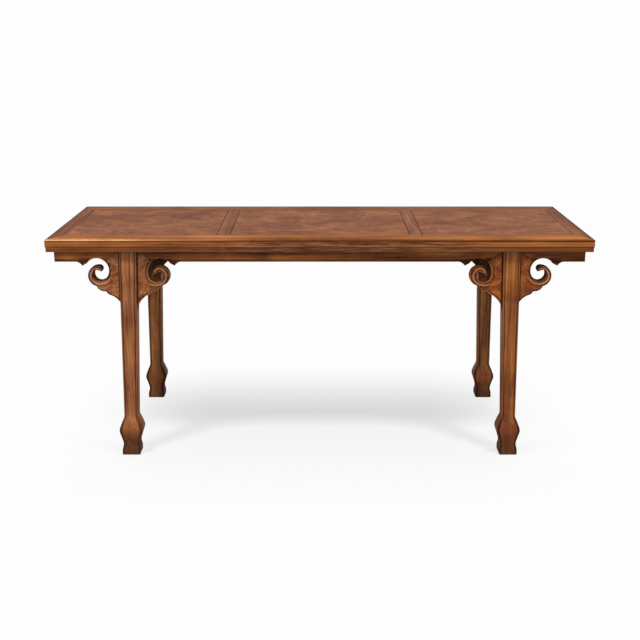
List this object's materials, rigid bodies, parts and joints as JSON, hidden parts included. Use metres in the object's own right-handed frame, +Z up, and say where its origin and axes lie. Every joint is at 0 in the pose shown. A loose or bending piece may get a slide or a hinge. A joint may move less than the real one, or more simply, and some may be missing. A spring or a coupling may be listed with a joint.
{
  "type": "altar table",
  "caption": "Long wooden altar table with a mitred frame-and-panel top, moulded edge, scroll spandrels and leaning legs with bulbed feet.",
  "frame": {"origin": "on the floor, under the middle of the table", "axes": "+X along the table to the right, +Y to the back, +Z up"},
  "size_m": [2, 0.69, 0.848],
  "materials": {
    "frame_wood": "satin",
    "panel_wood": "satin",
    "leg_wood": "satin",
    "apron_wood": "satin",
    "spandrel_wood": "satin",
    "hidden_wood": "matte"
  },
  "bodies": {
    "root": {"front_rail": "frame_wood", "back_rail": "frame_wood", "left_end_rail": "frame_wood", "right_end_rail": "frame_wood", "left_divider": "frame_wood", "right_divider": "frame_wood", "left_panel": "panel_wood", "middle_panel": "panel_wood", "right_panel": "panel_wood", "left_batten": "hidden_wood", "middle_batten": "hidden_wood", "right_batten": "hidden_wood", "corner_pegs": "hidden_wood", "front_apron": "apron_wood", "back_apron": "apron_wood", "left_end_board": "apron_wood", "right_end_board": "apron_wood", "front_left_leg": "leg_wood", "front_right_leg": "leg_wood", "back_left_leg": "leg_wood", "back_right_leg": "leg_wood", "front_left_outer_spandrel": "spandrel_wood", "front_left_inner_spandrel": "spandrel_wood", "front_right_outer_spandrel": "spandrel_wood", "front_right_inner_spandrel": "spandrel_wood", "back_left_outer_spandrel": "spandrel_wood", "back_left_inner_spandrel": "spandrel_wood", "back_right_outer_spandrel": "spandrel_wood", "back_right_inner_spandrel": "spandrel_wood"}
  },
  "joints": []
}
